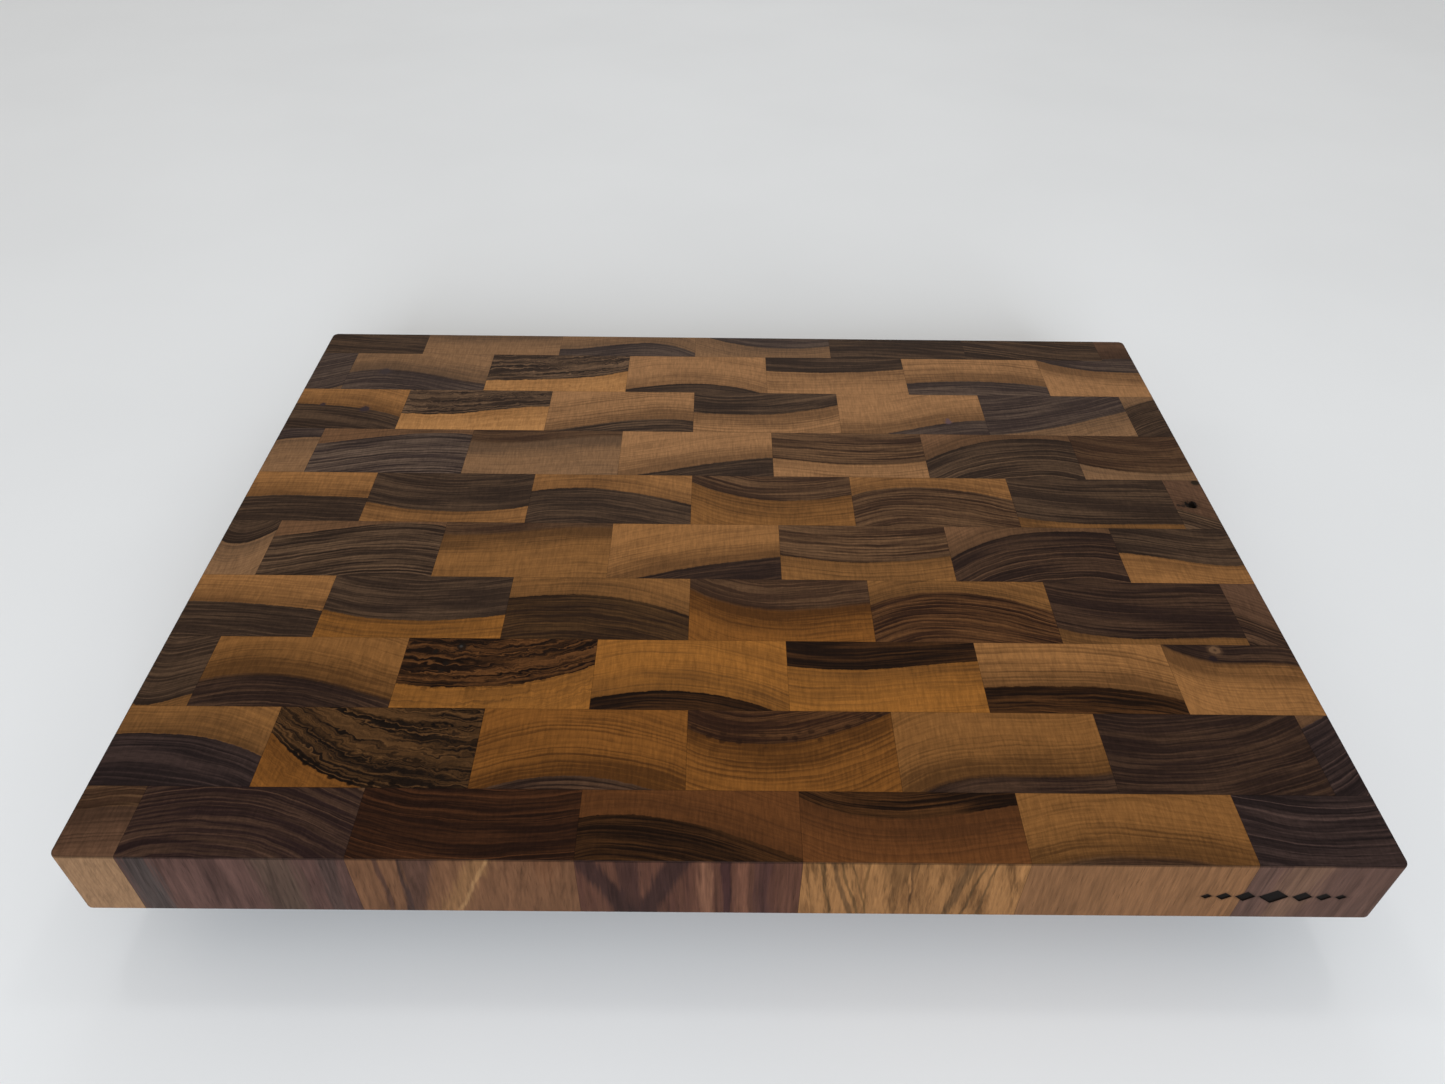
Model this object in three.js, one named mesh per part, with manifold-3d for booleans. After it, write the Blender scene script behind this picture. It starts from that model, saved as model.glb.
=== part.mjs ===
// End-grain walnut cutting board on four screwed rubber feet.
//
// The board is ten bars, each a row of seven upright walnut blocks. Neighbouring bars are shifted
// by about half a block, so that the seams are staggered like brickwork. Every block is cut from
// one blank with rounded corners and eased rims.
//
// Millimetres. +X runs along the board's long side, +Y to its back, +Z up. The origin is the
// middle of the footprint, on the surface that the feet stand on.

import * as THREE from 'three';
import { mergeVertices } from 'three/addons/utils/BufferGeometryUtils.js';
import Module from 'manifold-3d';

// Board
const BOARD_LENGTH = 609.6; // 24 in
const BOARD_DEPTH = 457.2; // 18 in
const BOARD_THICKNESS = 44.45; // 1 3/4 in
const CORNER_RADIUS = 4; // upright corners, in plan
const RIM_EASE = 1.5; // rounding of the top and bottom rims

// Blocks and bars. Seams sit on quarter millimetres, so that neighbours share them exactly.
const BLOCKS_PER_BAR = 7;
const BAR_DEPTH = 48.75; // a full bar along Y
const FRONT_BAR_SEAM = -190.5; // Y of the seam behind the front bar, which is trimmed narrower
const FIRST_SEAMS = [-275.5, -227.75, -276, -227, -274, -227.25, -275.25, -228, -278, -230.25];
const BLOCK_LENGTHS = [102.5, 103, 102, 102, 101.25, 101.5, 101.25, 101.5, 101.75, 102.25];
const BARS = FIRST_SEAMS.length; // a first seam, in X, and a full block's length for each bar, from the front
const BARS_LEFT_WHOLE = 4; // the rear bars, each kept as one solid
const BLOCK_TONES = [
  'MDDMMLD', 'MDLMLDD', 'DMMLMML', 'MMMMMDD', 'LDLLMDM',
  'MMMMMDD', 'LDLLMDM', 'MMLLLMD', 'DMMLLLL', 'DLMMDDM',
]; // heartwood D, mixed M or sapwood L, block by block

// Feet, with a washer and a pan-head wood screw in each
const FOOT_HEIGHT = 38;
const FOOT_INSET = 50; // foot axis to the board's edges
const FOOT_TOP_RADIUS = 25;
const FOOT_BASE_RADIUS = 21.5;
const FOOT_BASE_ROUND = 2.5;
const COUNTERBORE_RADIUS = 8;
const COUNTERBORE_DEPTH = 27;
const SCREW_HOLE_RADIUS = 2.75;
const WASHER_RADIUS = 7.6;
const WASHER_THICKNESS = 1.5;
const SCREW_LENGTH = 31.75; // under the head, 1 1/4 in
const SCREW_RADIUS = 2.4;
const SCREW_HEAD_RADIUS = 4.75;
const SCREW_HEAD_HEIGHT = 3;
const SCREW_TIP_LENGTH = 5;
const CLEARANCE = 0.3; // round a screw in its pilot hole
const RECESS_LENGTH = 5.2; // one arm of the cross recess, end to end
const RECESS_WIDTH = 1.1;
const RECESS_DEPTH = 1.8;

// Burnt ornament on the front face: a row of lozenges, the middle one the largest
const ORNAMENT_CENTRE_X = 251.75;
const ORNAMENT_CENTRE_Z = 57;
const ORNAMENT_DEPTH = 0.4;
const LOZENGE_GAP = 1.5;
const LOZENGES = [
  { length: 14, height: 11 },
  { length: 9.5, height: 8 },
  { length: 7.5, height: 6 },
  { length: 5.5, height: 4 },
]; // from the middle out

const ROUND_STEPS = 36;
const BOARD_TOP = FOOT_HEIGHT + BOARD_THICKNESS;
const FRONT_FACE = -BOARD_DEPTH / 2;
const OVERSHOOT = 6; // how far a cutting box runs past the blank

const FINISHES = {
  D: { color: 0x4a3629, roughness: 0.55, metalness: 0 },
  M: { color: 0x6b4a30, roughness: 0.55, metalness: 0 },
  L: { color: 0x93673c, roughness: 0.55, metalness: 0 },
  rubber: { color: 0x1b1b1c, roughness: 0.85, metalness: 0 },
  washer: { color: 0xb4b6b8, roughness: 0.35, metalness: 1 },
  screw: { color: 0xa2a4a6, roughness: 0.3, metalness: 1 },
};

const wasm = await Module();
wasm.setup();

function toSolid(geometry) {
  const bare = geometry.clone();
  bare.deleteAttribute('normal');
  bare.deleteAttribute('uv');
  const merged = mergeVertices(bare, 1e-5);
  return new wasm.Manifold(new wasm.Mesh({
    numProp: 3,
    vertProperties: merged.attributes.position.array,
    triVerts: new Uint32Array(merged.index.array),
  }));
}

function toGeometry(solid) {
  const { vertProperties, triVerts } = solid.getMesh();
  const geometry = new THREE.BufferGeometry();
  geometry.setAttribute('position', new THREE.BufferAttribute(vertProperties, 3));
  geometry.setIndex(new THREE.BufferAttribute(triVerts, 1));
  geometry.computeVertexNormals();
  return geometry;
}

function named(name, geometry, finish) {
  const mesh = new THREE.Mesh(geometry, new THREE.MeshStandardMaterial(FINISHES[finish]));
  mesh.name = name;
  return mesh;
}

function boxBetween(low, high) {
  const size = high.map((end, axis) => end - low[axis]);
  const middle = high.map((end, axis) => (end + low[axis]) / 2);
  return toSolid(new THREE.BoxGeometry(...size).translate(...middle));
}

function roundedRectangle(length, depth, radius) {
  const shape = new THREE.Shape();
  const centreX = length / 2 - radius;
  const centreY = depth / 2 - radius;
  shape.absarc(centreX, centreY, radius, 0, Math.PI / 2);
  shape.absarc(-centreX, centreY, radius, Math.PI / 2, Math.PI);
  shape.absarc(-centreX, -centreY, radius, Math.PI, 1.5 * Math.PI);
  shape.absarc(centreX, -centreY, radius, 1.5 * Math.PI, 2 * Math.PI);
  return shape;
}

// The whole board before it is divided, with its rounded corners and eased rims
function boardBlank() {
  const outline = roundedRectangle(
    BOARD_LENGTH - 2 * RIM_EASE,
    BOARD_DEPTH - 2 * RIM_EASE,
    CORNER_RADIUS - RIM_EASE,
  );
  const geometry = new THREE.ExtrudeGeometry(outline, {
    depth: BOARD_THICKNESS - 2 * RIM_EASE,
    bevelThickness: RIM_EASE,
    bevelSize: RIM_EASE,
    bevelSegments: 4,
    curveSegments: 4,
  });
  return toSolid(geometry.translate(0, 0, FOOT_HEIGHT + RIM_EASE));
}

// A lozenge-shaped pocket in the front face, as the solid to cut away
function lozengePocket(centreX, { length, height }) {
  const shape = new THREE.Shape([
    new THREE.Vector2(-length / 2, 0),
    new THREE.Vector2(0, -height / 2),
    new THREE.Vector2(length / 2, 0),
    new THREE.Vector2(0, height / 2),
  ]);
  const depth = ORNAMENT_DEPTH + 1;
  const geometry = new THREE.ExtrudeGeometry(shape, { depth, bevelEnabled: false });
  geometry.rotateX(Math.PI / 2);
  return toSolid(geometry.translate(centreX, FRONT_FACE + ORNAMENT_DEPTH, ORNAMENT_CENTRE_Z));
}

function ornamentPockets() {
  const [middle, ...outward] = LOZENGES;
  const pockets = [lozengePocket(ORNAMENT_CENTRE_X, middle)];
  let edge = middle.length / 2;
  for (const lozenge of outward) {
    const offset = edge + LOZENGE_GAP + lozenge.length / 2;
    pockets.push(lozengePocket(ORNAMENT_CENTRE_X - offset, lozenge));
    pockets.push(lozengePocket(ORNAMENT_CENTRE_X + offset, lozenge));
    edge = offset + lozenge.length / 2;
  }
  return pockets.reduce((all, pocket) => all.add(pocket));
}

const footX = BOARD_LENGTH / 2 - FOOT_INSET;
const footY = BOARD_DEPTH / 2 - FOOT_INSET;
const FOOT_PLACES = [
  { corner: 'front_left', x: -footX, y: -footY },
  { corner: 'front_right', x: footX, y: -footY },
  { corner: 'rear_left', x: -footX, y: footY },
  { corner: 'rear_right', x: footX, y: footY },
];

const counterboreFloor = COUNTERBORE_DEPTH;
const screwSeat = counterboreFloor - WASHER_THICKNESS; // Z of the underside of the washer
const screwTip = screwSeat + SCREW_LENGTH;

function pilotHoles() {
  const top = screwTip + 1;
  const height = top - FOOT_HEIGHT + OVERSHOOT;
  const radius = SCREW_RADIUS + CLEARANCE;
  const holes = FOOT_PLACES.map(({ x, y }) => {
    const geometry = new THREE.CylinderGeometry(radius, radius, height, ROUND_STEPS / 2);
    geometry.rotateX(Math.PI / 2);
    return toSolid(geometry.translate(x, y, top - height / 2));
  });
  return holes.reduce((all, hole) => all.add(hole));
}

function seamsOfBar(bar) {
  const first = FIRST_SEAMS[bar];
  const length = BLOCK_LENGTHS[bar];
  const between = Array.from({ length: BLOCKS_PER_BAR - 1 }, (_, i) => first + i * length);
  return [-BOARD_LENGTH / 2 - OVERSHOOT, ...between, BOARD_LENGTH / 2 + OVERSHOOT];
}

function rangeOfBar(bar) {
  const front = bar === 0 ? FRONT_FACE - OVERSHOOT : FRONT_BAR_SEAM + (bar - 1) * BAR_DEPTH;
  const back = bar === BARS - 1 ? BOARD_DEPTH / 2 + OVERSHOOT : FRONT_BAR_SEAM + bar * BAR_DEPTH;
  return [front, back];
}

function woodenBars() {
  const group = new THREE.Group();
  const blank = boardBlank().subtract(ornamentPockets()).subtract(pilotHoles());
  const low = FOOT_HEIGHT - OVERSHOOT;
  const high = BOARD_TOP + OVERSHOOT;
  for (let bar = 0; bar < BARS; bar += 1) {
    const [front, back] = rangeOfBar(bar);
    const seams = seamsOfBar(bar);
    const cut = (left, right) => toGeometry(
      blank.intersect(boxBetween([left, front, low], [right, back, high])),
    );
    if (bar >= BARS - BARS_LEFT_WHOLE) {
      group.add(named(`bar_${bar + 1}`, cut(seams[0], seams[BLOCKS_PER_BAR]), 'M'));
      continue;
    }
    for (let block = 0; block < BLOCKS_PER_BAR; block += 1) {
      const name = `bar_${bar + 1}_block_${block + 1}`;
      group.add(named(name, cut(seams[block], seams[block + 1]), BLOCK_TONES[bar][block]));
    }
  }
  return group;
}

// A turned solid: its profile holds [radius, height] pairs, counter-clockwise
function turned(profile) {
  const points = profile.map(([radius, height]) => new THREE.Vector2(radius, height));
  return new THREE.LatheGeometry(points, ROUND_STEPS).rotateX(Math.PI / 2);
}

function footGeometry() {
  const round = Array.from({ length: 4 }, (_, i) => {
    const angle = (i / 3) * (Math.PI / 2);
    return [
      FOOT_BASE_RADIUS - FOOT_BASE_ROUND * (1 - Math.sin(angle)),
      FOOT_BASE_ROUND * (1 - Math.cos(angle)),
    ];
  });
  return turned([
    [COUNTERBORE_RADIUS, 0],
    ...round,
    [FOOT_TOP_RADIUS, FOOT_HEIGHT],
    [SCREW_HOLE_RADIUS, FOOT_HEIGHT],
    [SCREW_HOLE_RADIUS, counterboreFloor],
    [COUNTERBORE_RADIUS, counterboreFloor],
    [COUNTERBORE_RADIUS, 0],
  ]);
}

function washerGeometry() {
  return turned([
    [SCREW_HOLE_RADIUS, screwSeat],
    [WASHER_RADIUS, screwSeat],
    [WASHER_RADIUS, counterboreFloor],
    [SCREW_HOLE_RADIUS, counterboreFloor],
    [SCREW_HOLE_RADIUS, screwSeat],
  ]);
}

function screwGeometry() {
  const headBase = screwSeat - SCREW_HEAD_HEIGHT;
  const body = toSolid(turned([
    [0, headBase],
    [SCREW_HEAD_RADIUS * 0.6, headBase + 0.1],
    [SCREW_HEAD_RADIUS * 0.88, headBase + 0.6],
    [SCREW_HEAD_RADIUS, headBase + 1.6],
    [SCREW_HEAD_RADIUS, screwSeat],
    [SCREW_RADIUS, screwSeat],
    [SCREW_RADIUS, screwTip - SCREW_TIP_LENGTH],
    [0, screwTip],
  ]));
  const armEnd = RECESS_LENGTH / 2;
  const armSide = RECESS_WIDTH / 2;
  const recessTop = headBase + RECESS_DEPTH;
  const alongX = boxBetween([-armEnd, -armSide, headBase - 1], [armEnd, armSide, recessTop]);
  const alongY = boxBetween([-armSide, -armEnd, headBase - 1], [armSide, armEnd, recessTop]);
  return toGeometry(body.subtract(alongX.add(alongY)));
}

function feet() {
  const group = new THREE.Group();
  for (const { corner, x, y } of FOOT_PLACES) {
    const place = new THREE.Group();
    place.position.set(x, y, 0);
    place.add(named(`foot_${corner}`, footGeometry(), 'rubber'));
    place.add(named(`washer_${corner}`, washerGeometry(), 'washer'));
    place.add(named(`screw_${corner}`, screwGeometry(), 'screw'));
    group.add(place);
  }
  return group;
}

const board = new THREE.Group();
board.add(woodenBars(), feet());

export default board;
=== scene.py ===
"""End-grain walnut cutting board on four screwed rubber feet, finished around its CAD frame.

Every block of the board is one piece with its own growth rings. Sizes here are in millimetres
unless a name says otherwise, and MM turns them into Blender's metres.
"""

import math

import bmesh
import bpy
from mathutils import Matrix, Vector


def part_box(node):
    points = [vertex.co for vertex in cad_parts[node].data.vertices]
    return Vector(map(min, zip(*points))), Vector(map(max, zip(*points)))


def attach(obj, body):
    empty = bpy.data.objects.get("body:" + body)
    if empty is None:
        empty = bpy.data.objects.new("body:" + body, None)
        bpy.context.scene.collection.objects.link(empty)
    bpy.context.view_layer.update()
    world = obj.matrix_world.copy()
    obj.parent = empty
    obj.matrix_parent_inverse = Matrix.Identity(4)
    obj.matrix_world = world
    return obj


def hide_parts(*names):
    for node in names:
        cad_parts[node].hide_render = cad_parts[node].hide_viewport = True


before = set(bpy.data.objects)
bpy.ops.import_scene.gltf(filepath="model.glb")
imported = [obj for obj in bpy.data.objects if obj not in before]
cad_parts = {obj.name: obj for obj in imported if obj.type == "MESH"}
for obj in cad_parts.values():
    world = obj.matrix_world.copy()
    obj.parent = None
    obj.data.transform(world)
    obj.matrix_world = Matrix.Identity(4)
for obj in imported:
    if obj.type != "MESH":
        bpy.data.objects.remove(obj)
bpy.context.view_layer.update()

MM = 0.001

# ---------- The board's own dimensions, as in the CAD ----------

BLOCKS_PER_BAR = 7
CORNER_RADIUS = 4.0
RIM_EASE = 1.5
# Bars that the CAD keeps whole: their first seam in X, and the length of a full block
REAR_SEAMS = {7: (-275.25, 101.25), 8: (-228.0, 101.5), 9: (-278.0, 101.75), 10: (-230.25, 102.25)}
FRONT_BLOCK_BARS = 6  # bars that the CAD has block by block
BARS = 10

# Burnt ornament on the front face: a row of lozenges, the middle one the largest
ORNAMENT_X = 251.75
ORNAMENT_Z = 57.0
ORNAMENT_DEPTH = 0.4
LOZENGE_GAP = 1.5
LOZENGE_SIZES = [(14, 11), (9.5, 8), (7.5, 6), (5.5, 4)]  # from the middle out
TIP_ROUND = 1.6
ORNAMENT_BLOCKS = {(1, 6), (1, 7)}

KNOT_HOLE_BLOCK = (6, 7)
KNOT_HOLE = (291.2, 28.6, 3.1, 3.0)  # middle in X and Y, radius, depth

# Feet, washers and screws
FOOT_TOP_RADIUS = 25.0
FOOT_BASE_RADIUS = 21.5
FOOT_BASE_ROUND = 2.5
LIP = 0.7
BASE_GROOVES = (11.0, 13.5, 16.0)
GROOVE_WIDTH = 1.0
GROOVE_DEPTH = 0.5
COUNTERBORE_RADIUS = 8.0
COUNTERBORE_DEPTH = 27.0
SCREW_HOLE_RADIUS = 2.75
WASHER_RADIUS = 7.6
SCREW_STEPS = 32
SCREW_RADIUS = 2.4
SCREW_ROOT_RADIUS = 1.75
SCREW_HEAD_RADIUS = 4.75
SCREW_TIP_LENGTH = 5.0
PLAIN_SHANK = 4.0
THREAD_PITCH = 2.1
THREAD_HALF_WIDTH = 0.28  # of the pitch
ROWS_PER_TURN = 8
PILOT_RADIUS = 2.7
RECESS_LENGTH = 5.2
RECESS_WIDTH = 1.1
RECESS_DEPTH = 1.8


def lozenges():
    """(middle in X, length, height) of each lozenge, outwards from the largest."""
    (length, height), *outward = LOZENGE_SIZES
    row = [(ORNAMENT_X, length, height)]
    edge = length / 2
    for length, height in outward:
        offset = edge + LOZENGE_GAP + length / 2
        row += [(ORNAMENT_X - offset, length, height), (ORNAMENT_X + offset, length, height)]
        edge = offset + length / 2
    return row


LOZENGES = lozenges()


def feet_places():
    """The middle of each foot, from the frame."""
    places = {}
    for corner in ("front_left", "front_right", "rear_left", "rear_right"):
        low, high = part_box(f"foot_{corner}")
        places[corner] = ((low[0] + high[0]) / 2 / MM, (low[1] + high[1]) / 2 / MM)
    return places


FEET = feet_places()

# ---------- Camera: over the front edge, looking down at 41 degrees, as in the photograph ----------

LENS = 26.28
SENSOR_WIDTH = 36.0
CAMERA_ANGLES = (48.813, -0.611, 0.130)
CAMERA_FROM_FRONT_EDGE = (-7.92, -260.30, 417.53)  # from the middle of the top front edge


def all_wood():
    """The lowest and highest corners of the wooden board, in millimetres."""
    boxes = [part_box(name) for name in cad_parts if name.startswith("bar_")]
    low = Vector([min(box[0][axis] for box in boxes) for axis in range(3)])
    high = Vector([max(box[1][axis] for box in boxes) for axis in range(3)])
    return low / MM, high / MM


BOARD_LOW, BOARD_HIGH = all_wood()


def make_camera():
    camera = bpy.data.objects.new("camera", bpy.data.cameras.new("camera"))
    bpy.context.scene.collection.objects.link(camera)
    camera.data.sensor_width = SENSOR_WIDTH
    camera.data.lens = LENS
    camera.data.clip_start = 0.01
    camera.rotation_euler = [math.radians(angle) for angle in CAMERA_ANGLES]
    edge = Vector((0.0, BOARD_LOW.y, BOARD_HIGH.z))
    camera.location = (edge + Vector(CAMERA_FROM_FRONT_EDGE)) * MM
    bpy.context.scene.camera = camera


# ---------- Node trees ----------

def linear(hex_colour):
    """A linear RGBA colour from an sRGB one such as '8a5f3c'."""
    channels = [int(hex_colour[i:i + 2], 16) / 255 for i in (0, 2, 4)]
    return [c / 12.92 if c <= 0.04045 else ((c + 0.055) / 1.055) ** 2.4 for c in channels] + [1.0]


class Nodes:
    """Adds nodes to one tree. Most methods return the output socket of what they add."""

    def __init__(self, tree):
        self.tree = tree

    def add(self, kind, inputs=None, output=0, **settings):
        node = self.tree.nodes.new(kind)
        for name, value in settings.items():
            setattr(node, name, value)
        for key, value in (inputs or {}).items():
            if isinstance(value, bpy.types.NodeSocket):
                self.tree.links.new(value, node.inputs[key])
            else:
                node.inputs[key].default_value = value
        return node.outputs[output]

    def math(self, operation, *values):
        return self.add("ShaderNodeMath", dict(enumerate(values)), operation=operation)

    def plus(self, a, b):
        return self.math("ADD", a, b)

    def minus(self, a, b):
        return self.math("SUBTRACT", a, b)

    def times(self, a, b):
        return self.math("MULTIPLY", a, b)

    def gain(self, value, factor, base):
        """The value times the factor, plus the base."""
        return self.math("MULTIPLY_ADD", value, factor, base)

    def inverse(self, value):
        return self.minus(1.0, value)

    def absolute(self, value):
        return self.math("ABSOLUTE", value)

    def vector(self, operation, *values):
        return self.add("ShaderNodeVectorMath", dict(enumerate(values)), operation=operation)

    def scaled(self, colour, factor):
        return self.add("ShaderNodeVectorMath", {0: colour, "Scale": factor}, operation="SCALE")

    def join(self, x, y, z):
        return self.add("ShaderNodeCombineXYZ", {0: x, 1: y, 2: z})

    def split(self, vector):
        node = self.tree.nodes.new("ShaderNodeSeparateXYZ")
        self.tree.links.new(vector, node.inputs[0])
        return list(node.outputs)

    def metres(self):
        """The place on the object, in metres."""
        return self.add("ShaderNodeTexCoord", output="Object")

    def place(self):
        """The place on the object, in millimetres."""
        return self.vector("MULTIPLY", self.metres(), (1 / MM,) * 3)

    def upright(self):
        """How far the surface faces up, from -1 to 1."""
        return self.split(self.add("ShaderNodeNewGeometry", output="Normal"))[2]

    def sides(self):
        """1 on the faces that stand upright, 0 on the level ones."""
        return self.inverse(self.step(self.absolute(self.upright()), 0.45, 0.85))

    def over(self, place, *sizes):
        """The place divided by the size of its features along each axis."""
        return self.vector("MULTIPLY", place, [1 / size for size in sizes])

    def stretched(self, *axes):
        """A place from three coordinates, each with the size of its features."""
        return self.join(*(self.times(value, 1 / size) for value, size in axes))

    def mix(self, factor, a, b):
        return self.add("ShaderNodeMix", {0: factor, 6: a, 7: b}, output=2, data_type="RGBA")

    def step(self, value, start, end):
        """Runs smoothly from 0 at start to 1 at end."""
        inputs = {0: value, 1: start, 2: end}
        return self.add("ShaderNodeMapRange", inputs, interpolation_type="SMOOTHSTEP")

    def between(self, value, start, full, fading, end):
        """Rises from 0 at start to 1 at full, and falls from 1 at fading to 0 at end."""
        return self.times(self.step(value, start, full), self.inverse(self.step(value, fading, end)))

    def noise(self, where, scale=1.0, detail=2.0, roughness=0.5, distortion=0.0):
        """Noise from -1 to 1, for a place already divided by the size of its features."""
        inputs = {"Vector": where, "Scale": scale, "Detail": detail, "Roughness": roughness}
        raw = self.add("ShaderNodeTexNoise", inputs | {"Distortion": distortion})
        return self.gain(raw, 2.0, -1.0)

    def link(self, results, sockets):
        """Links each result to the socket of its name."""
        for name, result in results.items():
            self.tree.links.new(result, sockets[name])

    def cells(self, where, **settings):
        """Distance to the nearest of scattered points, for a place as noise takes it."""
        inputs = {"Vector": where, "Scale": 1.0}
        return self.add("ShaderNodeTexVoronoi", inputs, output="Distance", **settings)

    def bump(self, height, strength, distance):
        inputs = {"Height": height, "Strength": strength, "Distance": distance}
        return self.add("ShaderNodeBump", inputs)


def new_material(name):
    material = bpy.data.materials.new(name)
    material.use_nodes = True
    tree = material.node_tree
    shader = tree.nodes["Principled BSDF"]
    return material, Nodes(tree), shader


FLOAT = "NodeSocketFloat"
COLOUR = "NodeSocketColor"


def new_group(name, inputs, outputs):
    """A new node group's Nodes and its input sockets, from the sockets' names and kinds."""
    tree = bpy.data.node_groups.new(name, "ShaderNodeTree")
    for direction, sockets in (("INPUT", inputs), ("OUTPUT", outputs)):
        for socket, kind in sockets.items():
            tree.interface.new_socket(socket, in_out=direction, socket_type=kind)
    return Nodes(tree), tree.nodes.new("NodeGroupInput").outputs


def finish_group(n, results):
    """Links the results to the group's outputs, and returns the group."""
    n.link(results, n.tree.nodes.new("NodeGroupOutput").inputs)
    return n.tree


# ---------- Walnut ----------

# Heartwood: its ground, its lighter stripes. Sapwood: its ground, its darker rings.
HEART_TONES = {
    "soot": ("1a110b", "543920"),
    "mocha": ("21120b", "4b2c18"),
    "plum": ("261917", "5c4332"),
    "ebony": ("1b0f08", "5c3a1e"),
    "cocoa": ("2a1b11", "634526"),
    "violet": ("231a19", "4e3c36"),
    "umber": ("281b16", "5e4431"),
    "bark": ("30231b", "6a513c"),
    "slate": ("372b27", "6e5a4b"),
    "russet": ("2e1b11", "6b4729"),
    "ochre": ("3a271b", "705238"),
}
SAP_TONES = {
    "wheat": ("a87848", "805832"),
    "gold": ("8c5a26", "5c3b1b"),
    "amber": ("784b1f", "4b2d12"),
    "straw": ("7c532b", "50341a"),
    "honey": ("8e6238", "5f4024"),
    "sand": ("946b46", "67492f"),
    "tan": ("80572f", "55391f"),
    "dun": ("7f5e41", "5b4431"),
    "clay": ("6f4f36", "4e3725"),
    "cedar": ("5c371b", "472a15"),
    "brown": ("5b4130", "3f2c20"),
}

# How a block's rings look: their spacing, their contrast in the sapwood and in the heartwood, the
# heartwood's broad stripes and thin pale lines, how far rings wander, the width of the change from
# one wood to the other, and how brown the sapwood is next to it.
LOOK_INPUTS = ("Rings", "Sap rings", "Heart rings", "Bands", "Streaks", "Figure", "Soft", "Beside")
LOOKS = {
    "calm": (2.6, 0.45, 0.70, 0.40, 0.25, 0.3, 0.3, 0.55),
    "smooth": (3.2, 0.45, 0.45, 0.45, 0.80, 0.3, 0.3, 0.55),
    "lined": (3.0, 0.60, 1.00, 0.72, 0.55, 0.5, 0.4, 0.40),
    "ringed": (2.9, 0.75, 0.70, 0.60, 0.30, 0.5, 0.4, 0.80),
    "plain": (2.8, 0.35, 0.50, 0.42, 0.15, 0.3, 0.4, 0.90),
    "soft": (2.7, 0.45, 0.55, 0.45, 0.20, 0.8, 1.8, 0.85),
    "wild": (3.2, 0.40, 1.25, 1.05, 1.00, 4.2, 0.35, 0.40),
    "dark": (3.4, 0.35, 0.65, 0.40, 0.75, 0.4, 0.5, 0.70),
}

BELOW, ABOVE = 1.0, -1.0

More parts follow.
